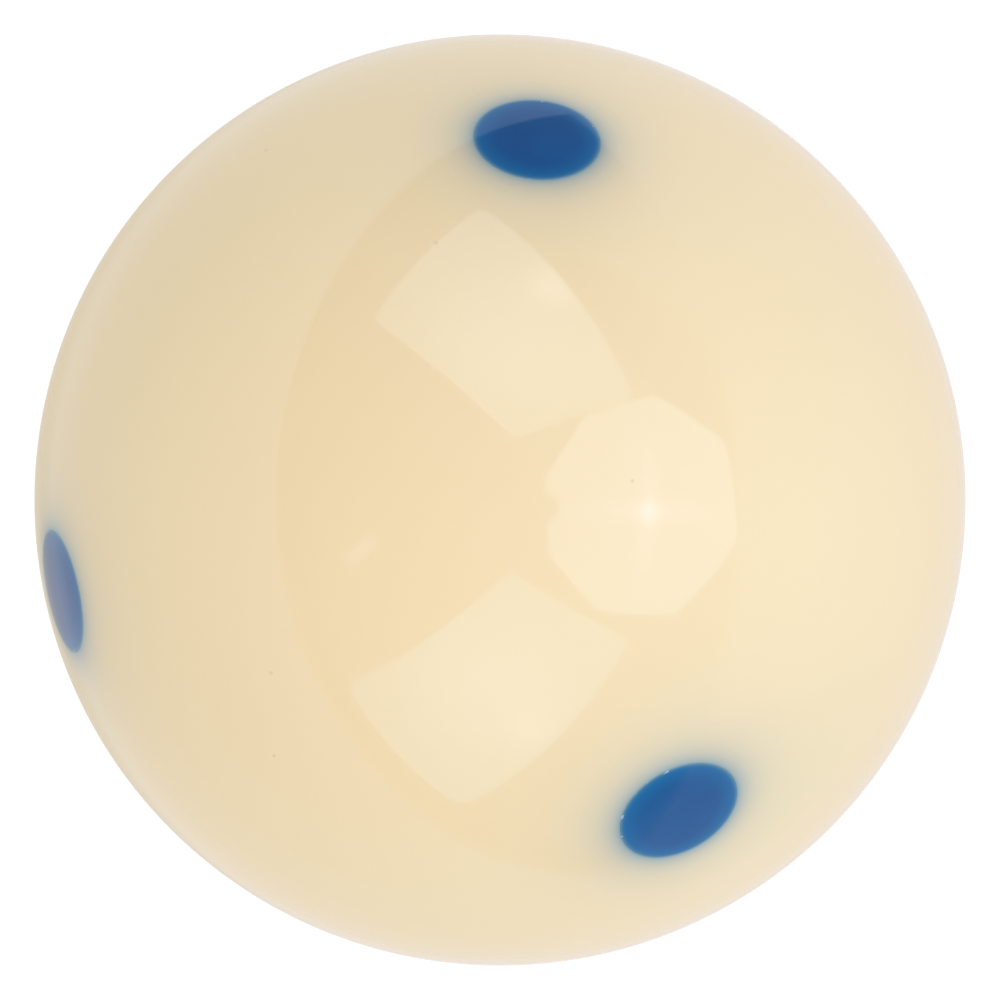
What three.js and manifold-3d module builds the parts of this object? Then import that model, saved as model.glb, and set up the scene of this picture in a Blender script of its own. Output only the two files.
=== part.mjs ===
// A spotted pool cue ball: a solid cream resin ball with six blue resin plugs
// cast into blind sockets, one at each end of three square axes.
// Millimetres, +Z up, origin at the centre of the ball.

import * as THREE from 'three';
import { mergeVertices } from 'three/addons/utils/BufferGeometryUtils.js';
import Module from 'manifold-3d';

const wasm = await Module();
wasm.setup();

// Driving dimensions.
const ballDiameter = 57.15; // the standard pool ball, 2 1/4 inches
const spotDiameter = 7.4; // the round face of each plug
const socketDepth = 4.6; // from the ball's surface to the shoulder of the drill point
const drillPointAngle = 118; // degrees, the full angle of the cone at a socket's bottom
const castingGap = 0.3; // between a plug and the wall of its socket

// How finely the curved surfaces are faceted.
const ballSubdivisions = 22; // cuts along each edge of the octahedron that makes the ball
const plugSegments = 48; // facets around a plug or a socket
const domeSteps = 5; // rings across the domed face of a plug

// Values that follow from the driving dimensions.
const ballRadius = ballDiameter / 2;
const spotRadius = spotDiameter / 2;
const drillHalfAngle = THREE.MathUtils.degToRad(drillPointAngle / 2);
const plugTip = ballRadius - socketDepth - spotRadius / Math.tan(drillHalfAngle);
const cutterTop = ballRadius + spotRadius; // clear of the ball, so a cutter opens its socket

// Where each spot faces, as a direction from the centre of the ball.
const spotDirections = {
  top: [0, 0, 1],
  bottom: [0, 0, -1],
  front: [0, -1, 0],
  back: [0, 1, 0],
  left: [-1, 0, 0],
  right: [1, 0, 0],
};

const creamResin = new THREE.MeshStandardMaterial({
  color: 0xf0ddb6,
  roughness: 0.1,
  metalness: 0,
});

const blueResin = new THREE.MeshStandardMaterial({
  color: 0x1f5590,
  roughness: 0.12,
  metalness: 0,
});

// The drill point and wall of a plug, from the tip up to the shoulder. The same
// outline grown outwards by the casting gap is the socket that the plug sits in.
function drilledOutline(growth) {
  const radius = spotRadius + growth;
  const tip = plugTip - growth / Math.sin(drillHalfAngle);
  const shoulder = tip + radius / Math.tan(drillHalfAngle);
  return { radius, points: [new THREE.Vector2(0, tip), new THREE.Vector2(radius, shoulder)] };
}

// A plug stands along +Y, with its face an arc of the ball's own surface.
function plugGeometry() {
  const { radius, points } = drilledOutline(0);
  const rim = Math.asin(radius / ballRadius);
  for (let step = 0; step <= domeSteps; step += 1) {
    const angle = rim * (1 - step / domeSteps);
    const across = step === domeSteps ? 0 : ballRadius * Math.sin(angle);
    points.push(new THREE.Vector2(across, ballRadius * Math.cos(angle)));
  }
  return new THREE.LatheGeometry(points, plugSegments);
}

// The drill that bores one socket stands along +Y and runs out past the ball.
function cutterGeometry() {
  const { radius, points } = drilledOutline(castingGap);
  points.push(new THREE.Vector2(radius, cutterTop));
  points.push(new THREE.Vector2(0, cutterTop));
  return new THREE.LatheGeometry(points, plugSegments);
}

// Turns what stands along +Y to face the way that a spot faces.
function facing(direction) {
  const turn = new THREE.Quaternion();
  turn.setFromUnitVectors(new THREE.Vector3(0, 1, 0), new THREE.Vector3(...direction));
  return turn;
}

function toSolid(geometry) {
  const bare = geometry.clone();
  bare.deleteAttribute('normal');
  bare.deleteAttribute('uv');
  const merged = mergeVertices(bare);
  return new wasm.Manifold(new wasm.Mesh({
    numProp: 3,
    vertProperties: merged.attributes.position.array,
    triVerts: Uint32Array.from(merged.index.array),
  }));
}

function toGeometry(solid) {
  const mesh = solid.getMesh();
  const geometry = new THREE.BufferGeometry();
  geometry.setAttribute('position', new THREE.BufferAttribute(mesh.vertProperties, 3));
  geometry.setIndex(new THREE.BufferAttribute(mesh.triVerts, 1));
  geometry.computeVertexNormals();
  return geometry;
}

// The ball, solid all through except for its six blind sockets.
function ballBody() {
  let ball = toSolid(new THREE.OctahedronGeometry(ballRadius, ballSubdivisions));
  const cutter = cutterGeometry();
  for (const direction of Object.values(spotDirections)) {
    const placed = cutter.clone().applyQuaternion(facing(direction));
    ball = ball.subtract(toSolid(placed));
  }
  const mesh = new THREE.Mesh(toGeometry(ball), creamResin);
  mesh.name = 'ball_body';
  return mesh;
}

// One plug, turned about the centre of the ball into the socket that faces its way.
function spotInlay(place, direction) {
  const mesh = new THREE.Mesh(plugGeometry(), blueResin);
  mesh.name = `spot_inlay_${place}`;
  mesh.quaternion.copy(facing(direction));
  return mesh;
}

const group = new THREE.Group();
group.add(ballBody());
for (const [place, direction] of Object.entries(spotDirections)) {
  group.add(spotInlay(place, direction));
}

export default group;
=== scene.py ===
"""The looks of a spotted cue ball: a cream resin ball with six blue resin plugs cast into it.

Metres, +Z up, the centre of the ball at the origin, as in the CAD frame.
"""

import math

import bmesh
import bpy
from mathutils import Matrix, Vector


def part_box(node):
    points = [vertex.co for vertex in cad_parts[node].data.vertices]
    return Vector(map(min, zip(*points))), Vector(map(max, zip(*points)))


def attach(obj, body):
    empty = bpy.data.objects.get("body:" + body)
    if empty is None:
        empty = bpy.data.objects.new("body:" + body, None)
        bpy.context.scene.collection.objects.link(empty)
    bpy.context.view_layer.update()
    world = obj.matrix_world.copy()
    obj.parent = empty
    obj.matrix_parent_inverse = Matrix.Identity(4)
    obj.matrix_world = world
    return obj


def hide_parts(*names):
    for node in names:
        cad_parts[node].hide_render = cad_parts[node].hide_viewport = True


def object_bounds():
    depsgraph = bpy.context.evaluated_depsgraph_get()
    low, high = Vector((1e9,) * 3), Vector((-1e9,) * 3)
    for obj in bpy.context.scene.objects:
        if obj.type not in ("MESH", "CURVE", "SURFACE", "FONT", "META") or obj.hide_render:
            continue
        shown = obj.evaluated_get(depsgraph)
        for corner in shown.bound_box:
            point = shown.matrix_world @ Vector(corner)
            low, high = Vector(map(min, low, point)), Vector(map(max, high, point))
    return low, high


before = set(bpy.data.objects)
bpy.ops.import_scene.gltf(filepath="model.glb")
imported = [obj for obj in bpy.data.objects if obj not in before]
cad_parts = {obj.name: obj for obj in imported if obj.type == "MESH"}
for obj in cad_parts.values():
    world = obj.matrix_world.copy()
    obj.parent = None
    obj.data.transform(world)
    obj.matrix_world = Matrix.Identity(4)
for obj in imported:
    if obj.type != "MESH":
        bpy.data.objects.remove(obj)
cad_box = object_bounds()

MM = 0.001

# ---------------------------------------------------------------- sizes, from the frame

PLUG_PREFIX = "spot_inlay_"
plug_nodes = sorted(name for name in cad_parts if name.startswith(PLUG_PREFIX))
plug_low, plug_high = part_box(PLUG_PREFIX + "top")

BALL_RADIUS = (cad_box[1].x - cad_box[0].x) / 2
SPOT_RADIUS = (plug_high.x - plug_low.x) / 2
PLUG_TIP = plug_low.z  # the tip of the drill point, above the centre of the ball
FLOOR_HEIGHT = cad_box[0].z

# ---------------------------------------------------------------- what the frame doesn't hold

DRILL_HALF_ANGLE = math.radians(59)
SEAM = 0.004 * MM  # the bond between a plug and its socket
EDGE_ROUNDING = 0.02 * MM  # polishing breaks the edges on both sides of the bond
SOCKET_RADIUS = SPOT_RADIUS + SEAM
SOCKET_TIP = PLUG_TIP - SEAM / math.sin(DRILL_HALF_ANGLE)

WALL_START = 0.4 * MM  # where the straight wall of a socket or plug begins, below its mouth
WELD = 0.0005 * MM  # points nearer to each other than this are one point

SEGMENTS = 224  # points round each spot, a multiple of 8
CELL_RINGS = 40  # rings of faces from a spot out to the edge of its sixth of the ball
RING_CROWDING = 1.6  # above 1, the rings crowd towards the spot
FACE_RINGS = 26  # rings across the domed face of a plug
ROUNDING_STEPS = 3


# ---------------------------------------------------------------- geometry

def across(direction):
    """Two directions square to this one and to each other, along the row's axes."""
    side = Vector((direction.z, direction.x, direction.y))
    return side, direction.cross(side)


def ring(direction, profile):
    """One ring of points about a direction. profile(azimuth) gives (radius, height along it)."""
    side, other = across(direction)
    points = []
    for step in range(SEGMENTS):
        azimuth = math.tau * step / SEGMENTS
        radius, height = profile(azimuth)
        outwards = side * math.cos(azimuth) + other * math.sin(azimuth)
        points.append(direction * height + outwards * radius)
    return points


def plain(radius, height):
    """The profile of a true circle."""
    return lambda azimuth: (radius, height)


def on_ball(angle):
    """(radius, height) of a point on the ball, this far from a spot's axis."""
    return BALL_RADIUS * math.sin(angle), BALL_RADIUS * math.cos(angle)


def add_rings(mesh, rings, tip):
    """Joins each ring to the next with faces, and the last ring to one point."""
    made = [[mesh.verts.new(point) for point in points] for points in rings]
    for outer, inner in zip(made, made[1:]):
        for step in range(SEGMENTS):
            after = (step + 1) % SEGMENTS
            mesh.faces.new((outer[step], outer[after], inner[after], inner[step]))
    end = mesh.verts.new(tip)
    for step in range(SEGMENTS):
        mesh.faces.new((made[-1][step], made[-1][(step + 1) % SEGMENTS], end))
    return made


def drilled_rings(direction, radius, tip, top):
    """The wall of a socket or plug, from just below its mouth down to the shoulder of the drill point."""
    shoulder = tip + radius / math.tan(DRILL_HALF_ANGLE)
    heights = [top - WALL_START, (top + shoulder) / 2, shoulder]
    rings = [ring(direction, plain(radius, height)) for height in heights]
    rings.append(ring(direction, plain(radius / 2, (tip + shoulder) / 2)))
    return rings


def rounded_edge(direction, wall, side):
    """A quarter turn from the ball's surface to a wall. side is 1 for a socket and -1 for a plug."""
    start = wall + side * EDGE_ROUNDING
    level = math.sqrt(BALL_RADIUS**2 - start**2) - EDGE_ROUNDING
    rings = []
    for step in range(ROUNDING_STEPS + 1):
        turn = math.pi / 2 * step / ROUNDING_STEPS
        radius = start - side * EDGE_ROUNDING * math.sin(turn)
        rings.append(ring(direction, plain(radius, level + EDGE_ROUNDING * math.cos(turn))))
    return rings, level


def cell_rings(direction):
    """The sixth of the ball that belongs to one spot, from its edge in to the rim of the socket."""
    rim = math.asin((SOCKET_RADIUS + EDGE_ROUNDING) / BALL_RADIUS)

    def profile_at(share):
        def profile(azimuth):
            edge = math.atan(1 / max(abs(math.cos(azimuth)), abs(math.sin(azimuth))))
            return on_ball(rim + (edge - rim) * share**RING_CROWDING)
        return profile

    shares = [1 - step / CELL_RINGS for step in range(CELL_RINGS)]
    return [ring(direction, profile_at(share)) for share in shares]


def true_normal(vertex):
    """Straight out from the centre for a point on the ball's surface, so the polish has no facets."""
    if vertex.co.length > BALL_RADIUS - WELD:
        return vertex.co.normalized()
    return vertex.normal


def finish_mesh(name, mesh):
    """Welds the rings where they meet, turns the faces outwards and makes the object."""
    bmesh.ops.remove_doubles(mesh, verts=mesh.verts, dist=WELD)
    bmesh.ops.recalc_face_normals(mesh, faces=mesh.faces)
    for face in mesh.faces:
        face.smooth = True
    data = bpy.data.meshes.new(name)
    mesh.to_mesh(data)
    mesh.free()
    data.normals_split_custom_set_from_vertices([true_normal(vertex) for vertex in data.vertices])
    made = bpy.data.objects.new(name, data)
    bpy.context.scene.collection.objects.link(made)
    return made


def facing(node):
    """The way that a plug faces: out from the centre of the ball, along a row axis."""
    low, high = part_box(node)
    centre = ((low + high) / 2).normalized()
    return Vector([round(part) for part in centre])


def make_ball():
    """The cream ball, closed, with its six sockets."""
    mesh = bmesh.new()
    for node in plug_nodes:
        direction = facing(node)
        edge, level = rounded_edge(direction, SOCKET_RADIUS, 1)
        wall = drilled_rings(direction, SOCKET_RADIUS, SOCKET_TIP, level)
        rings = cell_rings(direction) + edge + wall
        add_rings(mesh, rings, direction * SOCKET_TIP)
    return finish_mesh("resin_ball", mesh)


def make_plug(node):
    """One blue plug, domed to the surface of the ball, with the drill point at its inner end."""
    direction = facing(node)
    mesh = bmesh.new()
    rim = math.asin((SPOT_RADIUS - EDGE_ROUNDING) / BALL_RADIUS)
    angles = [rim * step / FACE_RINGS for step in range(1, FACE_RINGS)]
    face = [ring(direction, plain(*on_ball(angle))) for angle in angles]
    edge, level = rounded_edge(direction, SPOT_RADIUS, -1)
    wall = drilled_rings(direction, SPOT_RADIUS, PLUG_TIP, level)
    made = add_rings(mesh, face + edge + wall, direction * PLUG_TIP)
    middle = mesh.verts.new(direction * BALL_RADIUS)
    for step in range(SEGMENTS):
        mesh.faces.new((made[0][(step + 1) % SEGMENTS], made[0][step], middle))
    return finish_mesh(node.replace(PLUG_PREFIX, "resin_plug_"), mesh)


# ---------------------------------------------------------------- materials

# Where the mix node keeps its factor, and its sockets for colours.
MIX_FACTOR, MIX_FIRST, MIX_SECOND, MIX_RESULT = 0, 6, 7, 2


class Nodes:
    """Makes and joins the nodes of one tree. An input is a socket, or a plain value."""

    def __init__(self, tree):
        self.tree = tree
        tree.nodes.clear()

    def add(self, kind, values, **settings):
        node = self.tree.nodes.new(kind)
        for name, value in settings.items():
            setattr(node, name, value)
        for name, value in values.items():
            self.put(node.inputs[name], value)
        return node

    def put(self, socket, value):
        if isinstance(value, bpy.types.NodeSocket):
            self.tree.links.new(value, socket)
        else:
            socket.default_value = value

    def math(self, operation, *values):
        node = self.add("ShaderNodeMath", dict(enumerate(values)), operation=operation)
        return node.outputs[0]

    def vector(self, operation, *values):
        node = self.add("ShaderNodeVectorMath", dict(enumerate(values)), operation=operation)
        return node.outputs["Value" if operation in ("DOT_PRODUCT", "LENGTH") else "Vector"]

    def between(self, value, low, high, to_low=0.0, to_high=1.0):
        """value eased from to_low to to_high as it goes from low to high."""
        values = {"Value": value, "From Min": low, "From Max": high, "To Min": to_low, "To Max": to_high}
        return self.add("ShaderNodeMapRange", values, interpolation_type="SMOOTHSTEP").outputs[0]

    def mix(self, factor, first, second, blend="MIX"):
        node = self.add("ShaderNodeMix", {}, data_type="RGBA", blend_type=blend, clamp_factor=True)
        self.put(node.inputs[MIX_FACTOR], factor)
        self.put(node.inputs[MIX_FIRST], first)
        self.put(node.inputs[MIX_SECOND], second)
        return node.outputs[MIX_RESULT]

    def scaled(self, colour, share):
        """A plain colour made brighter or darker by a share that is worked out."""
        node = self.add("ShaderNodeVectorMath", {"Scale": share}, operation="SCALE")
        node.inputs[0].default_value = colour
        return node.outputs["Vector"]

    def noise(self, position, scale, detail=2.0, rough=0.5):
        values = {"Vector": position, "Scale": scale, "Detail": detail, "Roughness": rough}
        return self.add("ShaderNodeTexNoise", values).outputs[0]

    def position(self):
        return self.add("ShaderNodeTexCoord", {}).outputs["Object"]


CREAM_REFRACTION = 1.5
BLUE_REFRACTION = 1.475

CREAM = ((0.926, 0.781, 0.494, 1), (0.934, 0.789, 0.501, 1))  # its clouds run between these two
CREAM_CLOUDS = 60.0  # about how many clouds there are to the metre
BLUE = ((0.0004, 0.08, 0.272, 1), (0.0006, 0.087, 0.29, 1))
BLUE_CLOUDS = 420.0
BLUE_RIM = (0.001, 0.127, 0.35, 1)
# the plug's outer edge takes the grey-blue of the painted shade on the cream beside it
BLUE_EDGE = (0.14, 0.30, 0.39, 1)
BLUE_EDGE_REACH = 0.095 * MM
BLUE_RIM_START = 0.6 * SPOT_RADIUS
POLISH_CLOUDS = 160.0
NOISE_LOW, NOISE_HIGH = 0.3, 0.7  # nearly all of a noise pattern lies between these
SMOOTHEST, ROUGHEST = 0.035, 0.055

# Painted shade round each spot: how much red the cream's colour loses at the edge of a spot, where the
# plug under the translucent cream swallows the light, and how far out that reaches.
BOND_SHADE = (0.16, 0.1 * MM)
NEAR_SHADE = (0.43, 0.8 * MM)
FAR_SHADE = (0.26, 2.6 * MM)
GREEN_SHARE = 0.71  # the green that it loses for each part of red
BLUE_SHARE = 0.17

SPECK_CELLS = 600.0
SPECK_RARITY = 0.97  # the share of the cells that have no speck
SPECK_COLOUR = (0.81, 0.68, 0.43, 1)
SPECK_CORE, SPECK_EDGE = 0.03, 0.1  # as shares of a cell

# painted glint: the chips are real wear, and their pale colour stands in for light glinting off their
# broken edges
CHIP_GLINT_COLOUR = (0.36, 0.55, 0.68, 1)
CHIP_GRAINS = 2300.0
CHIP_PLACE = 0.02 * MM  # how far inside the bond they lie
CHIP_HALF_WIDTH, CHIP_REACH = 0.04 * MM, 0.09 * MM
WORN_SIDE = Vector((-0.74, 0.0, 0.67))  # from the middle of the front spot
WORN_CORE, WORN_EDGE = 2.2 * MM, 3.2 * MM
CHIP_RARITY_WORN, CHIP_RARITY = 0.62, 0.8


def from_nearest_axis(nodes, position):
    """How far a point is from the axis of the nearest spot, the axis that it lies farthest along."""
    parts = nodes.add("ShaderNodeSeparateXYZ", {"Vector": nodes.vector("ABSOLUTE", position)})
    x, y, z = parts.outputs
    along = nodes.math("MAXIMUM", nodes.math("MAXIMUM", x, y), z)
    whole = nodes.vector("DOT_PRODUCT", position, position)
    rest = nodes.math("SUBTRACT", whole, nodes.math("MULTIPLY", along, along))
    return nodes.math("SQRT", nodes.math("MAXIMUM", rest, 0.0))


def fade(nodes, distance, strength, reach):
    """strength at the edge of a spot, dying away over reach."""
    share = nodes.math("DIVIDE", distance, -reach)
    return nodes.math("MULTIPLY", nodes.math("EXPONENT", share), strength)


def spot_shade(nodes, position):
    """Painted shade: how much red the cream loses near a spot, where the plug under it swallows the
    light.
    """
    outside = nodes.math("SUBTRACT", from_nearest_axis(nodes, position), SPOT_RADIUS)
    outside = nodes.math("MAXIMUM", outside, 0.0)
    bond = fade(nodes, outside, *BOND_SHADE)
    near = fade(nodes, outside, *NEAR_SHADE)
    far = fade(nodes, outside, *FAR_SHADE)
    return nodes.math("ADD", nodes.math("ADD", near, far), bond)


def specks(nodes, position):
    """A few small dark specks, one in some of the cells that a Voronoi pattern makes."""
    values = {"Vector": position, "Scale": SPECK_CELLS, "Randomness": 1.0}
    cells = nodes.add("ShaderNodeTexVoronoi", values, feature="F1")
    chosen = nodes.add("ShaderNodeSeparateColor", {"Color": cells.outputs["Color"]})
    lucky = nodes.math("GREATER_THAN", chosen.outputs["Red"], SPECK_RARITY)
    dot = nodes.between(cells.outputs["Distance"], SPECK_CORE, SPECK_EDGE, 1.0, 0.0)
    return nodes.math("MULTIPLY", lucky, dot)


def rim_chip_glints(nodes, position):
    """Tiny chips on the bond, close together on one side of the front spot and rare elsewhere. The chips
    are real wear; their pale colour is a painted glint off their broken edges.
    """
    offset = nodes.math("SUBTRACT", from_nearest_axis(nodes, position), SPOT_RADIUS - CHIP_PLACE)
    on_bond = nodes.between(nodes.math("ABSOLUTE", offset), CHIP_HALF_WIDTH, CHIP_REACH, 1.0, 0.0)
    front = facing(PLUG_PREFIX + "front") * BALL_RADIUS
    worn = front + WORN_SIDE * SPOT_RADIUS
    reach = nodes.vector("LENGTH", nodes.vector("SUBTRACT", position, worn))
    share = nodes.between(reach, WORN_CORE, WORN_EDGE, CHIP_RARITY_WORN, CHIP_RARITY)
    grain = nodes.noise(position, CHIP_GRAINS, 0.0)
    chipped = nodes.math("GREATER_THAN", grain, share)
    return nodes.math("MULTIPLY", chipped, on_bond)


def resin(name, build):
    """A material with one glossy resin shader. build(nodes) gives its base colour and roughness."""
    material = bpy.data.materials.new(name)
    material.use_nodes = True
    nodes = Nodes(material.node_tree)
    values = build(nodes)
    shader = nodes.add("ShaderNodeBsdfPrincipled", values)
    out = nodes.add("ShaderNodeOutputMaterial", {})
    nodes.put(out.inputs["Surface"], shader.outputs[0])
    return material


def polish(nodes, position):
    """Roughness of a polished ball that has been handled: nearly even, with faint cloudy patches."""
    cloud = nodes.noise(position, POLISH_CLOUDS, 3.0)
    return nodes.between(cloud, NOISE_LOW, NOISE_HIGH, SMOOTHEST, ROUGHEST)


def clouded(nodes, position, colours, scale, detail):
    """A colour that drifts between two, in soft patches."""
    cloud = nodes.between(nodes.noise(position, scale, detail), NOISE_LOW, NOISE_HIGH)
    return nodes.mix(cloud, *colours)


def cream_resin(nodes):
    position = nodes.position()
    colour = clouded(nodes, position, CREAM, CREAM_CLOUDS, 3.0)
    # painted shade: the cream's colour is darkened round each spot, where the plug under it swallows the
    # light
    shade = spot_shade(nodes, position)
    left = nodes.add("ShaderNodeCombineColor", {
        "Red": nodes.math("SUBTRACT", 1.0, shade),
        "Green": nodes.math("SUBTRACT", 1.0, nodes.math("MULTIPLY", shade, GREEN_SHARE)),
        "Blue": nodes.math("SUBTRACT", 1.0, nodes.math("MULTIPLY", shade, BLUE_SHARE)),
    })
    colour = nodes.mix(1.0, colour, left.outputs[0], "MULTIPLY")
    colour = nodes.mix(specks(nodes, position), colour, SPECK_COLOUR)
    # chips on the bond, painted pale as a painted glint off their broken edges
    colour = nodes.mix(rim_chip_glints(nodes, position), colour, CHIP_GLINT_COLOUR)
    return {
        "Base Color": colour,
        "Roughness": polish(nodes, position),
        "IOR": CREAM_REFRACTION,
    }


def blue_resin(nodes):
    position = nodes.position()
    distance = from_nearest_axis(nodes, position)
    rim = nodes.between(distance, BLUE_RIM_START, SPOT_RADIUS)
    colour = clouded(nodes, position, BLUE, BLUE_CLOUDS, 2.0)
    colour = nodes.mix(rim, colour, BLUE_RIM)
    inside = nodes.math("MAXIMUM", nodes.math("SUBTRACT", SPOT_RADIUS, distance), 0.0)
    # the edge takes the grey-blue of the painted shade on the cream beside it
    colour = nodes.mix(fade(nodes, inside, 1.0, BLUE_EDGE_REACH), colour, BLUE_EDGE)
    # chips on the bond, painted pale as a painted glint off their broken edges
    colour = nodes.mix(rim_chip_glints(nodes, position), colour, CHIP_GLINT_COLOUR)
    return {
        "Base Color": colour,
        "Roughness": polish(nodes, position),
        "IOR": BLUE_REFRACTION,
    }


# ---------------------------------------------------------------- camera

AZIMUTH = math.radians(-25.6)
ELEVATION = math.radians(41.65)
ROLL = math.radians(5.87)  # the ball's own +Z leans this far to the right of upright
CAMERA_DISTANCE = 13.12 * BALL_RADIUS
LENS_MM = 219.3


def viewing_axes():
    """The camera's right, up and backward directions, as the columns of a matrix."""
    level = math.cos(ELEVATION)
    back = Vector((math.sin(AZIMUTH) * level, -math.cos(AZIMUTH) * level, math.sin(ELEVATION)))
    upright = (Vector((0, 0, 1)) - back * back.z).normalized()
    sideways = upright.cross(back)
    right = sideways * math.cos(ROLL) + upright * math.sin(ROLL)
    return Matrix((right, back.cross(right), back)).transposed()


viewing = viewing_axes()


def make_camera():
    data = bpy.data.cameras.new("camera")
    data.lens = LENS_MM
    camera = bpy.data.objects.new("camera", data)
    bpy.context.scene.collection.objects.link(camera)
    camera.matrix_world = Matrix.Translation(viewing.col[2] * CAMERA_DISTANCE) @ viewing.to_4x4()
    bpy.context.scene.camera = camera


# ---------------------------------------------------------------- studio
# Every place here is in the camera's axes (right, up, towards the camera), as a studio is set up.

SOFTBOX_DISTANCE = 0.87
CLOTH_REACH, CLOTH_GLOW = 0.3, 0.65  # a softbox's cloth is brighter towards its middle
LAMP_REACH = 0.065  # the bright place where its lamp shows through

OCTABOX_PLACE, OCTABOX_FACING = (31.8, -1.4), (47.5, -4.1)  # degrees right of the camera and above it
OCTABOX_SIDES = 8
OCTABOX_RADIUS = 0.417
OCTABOX_TURN = math.radians(74.3)
OCTABOX_LAMP_PLACE = (0.056, -0.017)  # beside the middle of its cloth and above it
OCTABOX_CLOTH = (1.62, 1.73, 1.99)
OCTABOX_LAMP = (0.8, 1.05, 2.0)
BAR_WIDTH, LEVEL_BAR, TALL_BAR, BAR_GLOW = 0.035, 0.22, 0.26, 0.65  # the arms of its bright cross
CORE_REACH, CORE_GLOW = 0.034, 1.2
HALO_REACH, HALO_GLOW = 0.28, 0.12
CLAMP_PLACE = (11.2, -1.9)  # on the edge of its cloth, in degrees
CLAMP_CORE, CLAMP_EDGE = 0.05, 0.058
CLAMP_COLOUR = (0.6, 0.4, 0.3, 1)

SMALL_LAMP_CORNERS = ((-38.4, -12.4), (-36.6, -15.3), (-28.6, -10.2), (-30.4, -7.3))
SMALL_LAMP_COLOUR = (1.5, 1.05, 1.25)

TABLE_HALF = 6.0
TABLE_WHITE = 1.05  # a little over 1, so that it shows as pure white
CONTACT_GAP = 2.0 * MM  # the table is shaded only where the ball is nearer to it than this
CONTACT_SAMPLES = 8


def emitter(name, colour, paint=None):
    """A material that only shines. paint(nodes) gives its light where that isn't one plain colour."""
    material = bpy.data.materials.new(name)
    material.use_nodes = True
    nodes = Nodes(material.node_tree)
    shine = paint(nodes) if paint else (*colour, 1)
    light = nodes.add("ShaderNodeEmission", {"Color": shine})
    out = nodes.add("ShaderNodeOutputMaterial", {})
    nodes.put(out.inputs["Surface"], light.outputs[0])
    return material


def hump(nodes, distance, reach):
    """1 at no distance, dying away smoothly over reach."""
    share = nodes.math("DIVIDE", distance, reach)
    square = nodes.math("MULTIPLY", share, share)
    return nodes.math("EXPONENT", nodes.math("MULTIPLY", square, -1.0))


def direction_at(right, up):
    """The direction this many degrees right of the camera and above it."""
    right, up = math.radians(right), math.radians(up)
    return Vector((math.sin(right) * math.cos(up), math.sin(up), math.cos(right) * math.cos(up)))


def from_place(nodes, place):
    """How far a point on a light is from a place in the studio."""
    return nodes.vector("LENGTH", nodes.vector("SUBTRACT", nodes.position(), viewing @ place))


def meet(direction, centre, normal):
    """Where a direction from the ball meets the plane of a light."""
    return direction * (centre.dot(normal) / direction.dot(normal))


def panel(name, corners, material):
    """A flat light with these corners, which the camera doesn't see."""
    data = bpy.data.meshes.new(name)
    places = [viewing @ corner for corner in corners]
    data.from_pydata(places, [], [range(len(corners))])
    made = bpy.data.objects.new(name, data)
    made.data.materials.append(material)
    made.visible_camera = False
    bpy.context.scene.collection.objects.link(made)
    return made


CUT_CORNERS = (
    (0.95, 1), (1, 0.95), (1, -0.95), (0.95, -1),
    (-0.95, -1), (-1, -0.95), (-1, 0.95), (-0.95, 1),
)
UNEVEN_CORNERS = (
    (0.89, 1), (0.95, 0.9), (1, -0.99), (0.95, -1.04), (-0.95, -1.04),
    (-1, -0.99), (-1, 0.35), (-1.1, 0.9), (-0.95, 1),
)


def softbox(name, centre, short, long, outline, colour, lamp, glow):
    """A softbox. short and long are half its sides, as shares of the distance to it.

    outline gives its corners in halves of its sides, as cloth is never stretched quite square.
    lamp is the direction from the ball in which its cloth is brightest, and glow is how bright.
    """
    centre, short, long = (Vector(given) * SOFTBOX_DISTANCE for given in (centre, short, long))
    corners = [centre + short * a + long * b for a, b in outline]
    brightest = meet(Vector(lamp), centre, short.cross(long))

    def cloth(nodes):
        middle = nodes.math("MULTIPLY", hump(nodes, from_place(nodes, centre), CLOTH_REACH), CLOTH_GLOW)
        spot = nodes.math("MULTIPLY", hump(nodes, from_place(nodes, brightest), LAMP_REACH), glow)
        return nodes.scaled(colour, nodes.math("ADD", nodes.math("ADD", middle, spot), 1.0))

    return panel(name, corners, emitter(name, colour, cloth))


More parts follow.
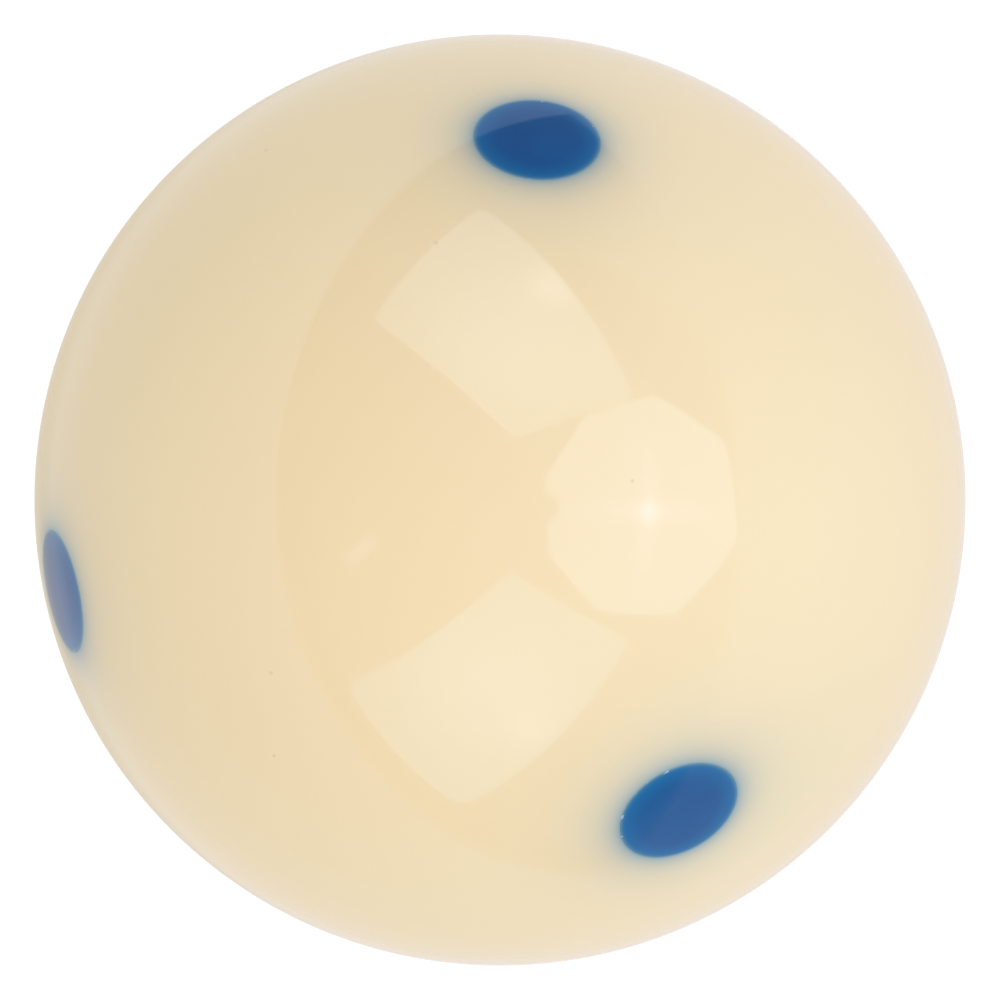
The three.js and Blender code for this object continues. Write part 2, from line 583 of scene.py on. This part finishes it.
def octabox():
    """The eight-sided main light. Its lamp shows through the cloth as a bright cross."""
    centre = direction_at(*OCTABOX_PLACE) * SOFTBOX_DISTANCE
    facing_way = direction_at(*OCTABOX_FACING)
    side = Vector((0, 1, 0)).cross(facing_way).normalized()
    up = facing_way.cross(side)
    corners = []
    for step in range(OCTABOX_SIDES):
        angle = OCTABOX_TURN + math.tau * step / OCTABOX_SIDES
        corners.append(centre + (side * math.cos(angle) + up * math.sin(angle)) * OCTABOX_RADIUS)
    lamp = centre + side * OCTABOX_LAMP_PLACE[0] + up * OCTABOX_LAMP_PLACE[1]
    clamp = meet(direction_at(*CLAMP_PLACE), centre, facing_way)

    def cloth(nodes):
        away = nodes.vector("SUBTRACT", nodes.position(), viewing @ lamp)
        beside = nodes.vector("DOT_PRODUCT", away, viewing @ side)
        above = nodes.vector("DOT_PRODUCT", away, viewing @ up)
        from_lamp = from_place(nodes, lamp)
        level_bar = nodes.math("MULTIPLY", hump(nodes, above, BAR_WIDTH), hump(nodes, beside, LEVEL_BAR))
        tall_bar = nodes.math("MULTIPLY", hump(nodes, beside, BAR_WIDTH), hump(nodes, above, TALL_BAR))
        bars = nodes.math("MULTIPLY", nodes.math("ADD", level_bar, tall_bar), BAR_GLOW)
        core = nodes.math("MULTIPLY", hump(nodes, from_lamp, CORE_REACH), CORE_GLOW)
        halo = nodes.math("MULTIPLY", hump(nodes, from_lamp, HALO_REACH), HALO_GLOW)
        shining = nodes.math("ADD", nodes.math("ADD", bars, core), halo)
        lit = nodes.vector("ADD", nodes.scaled(OCTABOX_LAMP, shining), OCTABOX_CLOTH)
        covered = nodes.between(from_place(nodes, clamp), CLAMP_CORE, CLAMP_EDGE, 1.0, 0.0)
        return nodes.mix(covered, lit, CLAMP_COLOUR)

    return panel("octabox", corners, emitter("octabox", OCTABOX_CLOTH, cloth))


def small_lamp():
    """A small slanting light, far to the left."""
    corners = [direction_at(*place) for place in SMALL_LAMP_CORNERS]
    return panel("small_lamp", corners, emitter("small_lamp", SMALL_LAMP_COLOUR))


def make_floor():
    """A plain white table that only the camera sees: the ball sees the white surround carry on below."""
    signs = ((-1, -1), (1, -1), (1, 1), (-1, 1))
    corners = [(x * TABLE_HALF, y * TABLE_HALF, FLOOR_HEIGHT) for x, y in signs]
    data = bpy.data.meshes.new("floor")
    data.from_pydata(corners, [], [range(4)])
    made = bpy.data.objects.new("floor", data)
    material = bpy.data.materials.new("floor")
    material.use_nodes = True
    nodes = Nodes(material.node_tree)
    reach = {"Distance": CONTACT_GAP}
    contact = nodes.add("ShaderNodeAmbientOcclusion", reach, samples=CONTACT_SAMPLES)
    strength = nodes.math("MULTIPLY", contact.outputs["AO"], TABLE_WHITE)
    shader = nodes.add("ShaderNodeEmission", {"Color": (1, 1, 1, 1), "Strength": strength})
    out = nodes.add("ShaderNodeOutputMaterial", {})
    nodes.put(out.inputs["Surface"], shader.outputs[0])
    made.data.materials.append(material)
    made.visible_glossy = False
    made.visible_diffuse = False
    made.visible_shadow = False
    bpy.context.scene.collection.objects.link(made)


def cap(nodes, direction, axis, half_angle, softness, trim=0.0):
    """1 inside a cone of directions and 0 outside it, with its soft edge this many degrees wide.

    trim draws the edge in, by a share that can differ from place to place.
    """
    along = nodes.vector("DOT_PRODUCT", direction, viewing @ Vector(axis).normalized())
    along = nodes.math("SUBTRACT", along, trim)
    outer = math.cos(math.radians(half_angle + softness / 2))
    inner = math.cos(math.radians(half_angle - softness / 2))
    return nodes.between(along, outer, inner)


def shading(nodes, direction, middle, slopes):
    """A colour that changes evenly across the studio: each channel grows brighter along its own slope."""
    channels = [nodes.vector("DOT_PRODUCT", direction, viewing @ Vector(slope)) for slope in slopes]
    change = nodes.add("ShaderNodeCombineXYZ", dict(zip("XYZ", channels))).outputs[0]
    return nodes.vector("ADD", change, middle)


WHITE = (0.857, 0.867, 0.893)  # the middle of the reflectors' colours
WHITE_SLOPES = ((0.022, -0.027, -0.027), (-0.045, 0.0, 0.03), (-0.085, 0.009, 0.048))
ROOM = (0.57, 0.325, 0.11)
ROOM_SLOPES = ((0.03, -0.27, 0.0), (0.11, -0.14, 0.0), (0.19, -0.04, 0.0))

# Each lobe is a part of the surroundings with a colour of its own: axis, half angle, softness, colour.
GAP = ((-0.28, 0.03, -0.96), 14, 14, (0.74, 0.675, 0.585, 1))  # a duller strip where the two nearly meet
ROOM_LOBES = (
    ((0.6, -0.78, 0.0), 20, 24, (0.35, 0.66, 0.82, 1)),
    ((0.72, 0.65, 0.1), 23, 28, (0.85, 0.76, 0.73, 1)),
    ((0.55, 0.6, -0.6), 26, 20, (0.85, 0.86, 0.88, 1)),
)
LOW_LOBE = ((0.65, -0.72, -0.35), 20, 20, (0.66, 0.8, 0.87, 1))  # over the room and the reflectors

LEFT_REFLECTOR = ((-0.65, -0.012, -0.76), 84.0, 1.0)
RIGHT_REFLECTOR = ((0.807, 0.045, -0.589), 66.9, 1.5)
BEND_AXIS = (0.6, 0.8, 0.0)  # towards this side the left reflector's edge bends inwards
BEND_START, BEND_END, BEND = 0.25, 0.84, 0.052
SURROUND = (1.05, 1.05, 1.05, 1)  # what the camera sees behind the ball: plain white


def lobe(nodes, direction, under, axis, half_angle, softness, colour):
    """Lays one lobe's colour over what is under it."""
    return nodes.mix(cap(nodes, direction, axis, half_angle, softness), under, colour)


def make_surroundings():
    """Two large pale reflectors behind the ball, and the dim warm room that shows between them."""
    world = bpy.data.worlds.new("studio")
    bpy.context.scene.world = world
    world.use_nodes = True
    nodes = Nodes(world.node_tree)
    direction = nodes.add("ShaderNodeTexCoord", {}).outputs["Generated"]
    overhead = nodes.vector("DOT_PRODUCT", direction, viewing @ Vector(BEND_AXIS))
    bend = nodes.between(overhead, BEND_START, BEND_END, 0.0, BEND)
    left = cap(nodes, direction, *LEFT_REFLECTOR, bend)
    right = cap(nodes, direction, *RIGHT_REFLECTOR)
    white = shading(nodes, direction, WHITE, WHITE_SLOPES)
    white = lobe(nodes, direction, white, *GAP)
    room = shading(nodes, direction, ROOM, ROOM_SLOPES)
    for given in ROOM_LOBES:
        room = lobe(nodes, direction, room, *given)
    seen = nodes.mix(nodes.math("MAXIMUM", left, right), room, white)
    seen = lobe(nodes, direction, seen, *LOW_LOBE)
    path = nodes.add("ShaderNodeLightPath", {})
    shown = nodes.mix(path.outputs["Is Camera Ray"], seen, SURROUND)
    light = nodes.add("ShaderNodeBackground", {"Color": shown})
    out = nodes.add("ShaderNodeOutputWorld", {})
    nodes.put(out.inputs["Surface"], light.outputs[0])


# ---------------------------------------------------------------- the scene

make_camera()
make_surroundings()
make_floor()
softbox(
    "softbox_high",
    centre=(0.012, 0.622, 0.793),
    short=(-0.254, -0.053, 0.229),
    long=(0.324, -0.232, 0.305),
    outline=CUT_CORNERS,
    colour=(1.11, 1.27, 1.43),
    lamp=(0.186, 0.781, 0.596),
    glow=1.15,
)
softbox(
    "softbox_low",
    centre=(-0.039, -0.713, 0.700),
    short=(0.260, -0.124, -0.203),
    long=(-0.341, -0.210, -0.308),
    outline=UNEVEN_CORNERS,
    colour=(1.05, 1.27, 1.49),
    lamp=(0.113, -0.823, 0.556),
    glow=0.6,
)
octabox()
small_lamp()

cream = resin("cream_resin", cream_resin)
blue = resin("blue_resin", blue_resin)

ball = make_ball()
ball.data.materials.append(cream)
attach(ball, "root")
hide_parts("ball_body")

for node in plug_nodes:
    plug = make_plug(node)
    plug.data.materials.append(blue)
    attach(plug, "root")
    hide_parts(node)

bpy.context.scene.view_settings.view_transform = "Standard"
